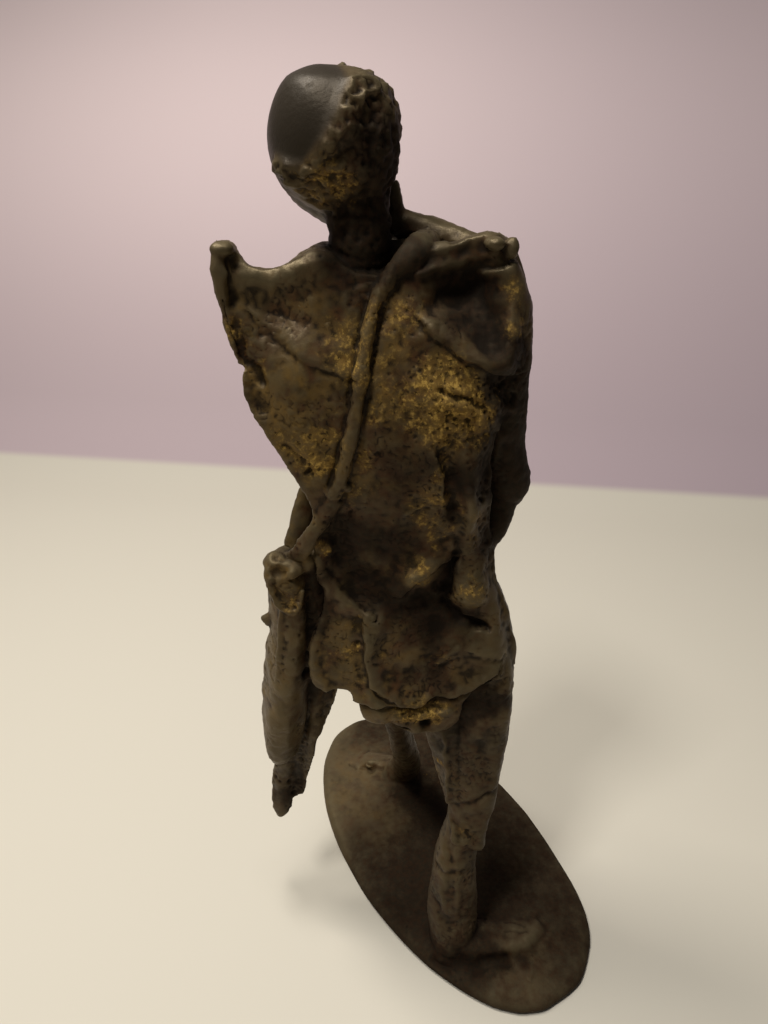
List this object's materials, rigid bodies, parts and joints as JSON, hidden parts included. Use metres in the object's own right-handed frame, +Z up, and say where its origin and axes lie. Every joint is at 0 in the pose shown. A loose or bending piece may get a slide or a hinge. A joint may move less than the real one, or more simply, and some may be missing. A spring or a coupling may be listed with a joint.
{
  "type": "bronze statue",
  "caption": "Small cast bronze of a striding bald figure in a short stiff coat with a long shoulder bag, on a thin oval base.",
  "frame": {"origin": "middle of the oval base, on its underside", "axes": "+Z up; the figure walks towards -Y, its left is +X and its back faces +Y"},
  "size_m": [0.1256, 0.1461, 0.2999],
  "materials": {
    "bronze": "dark brown patina, satin, with ochre in the hollows"
  },
  "bodies": {
    "root": {"statue": "bronze"}
  },
  "joints": []
}
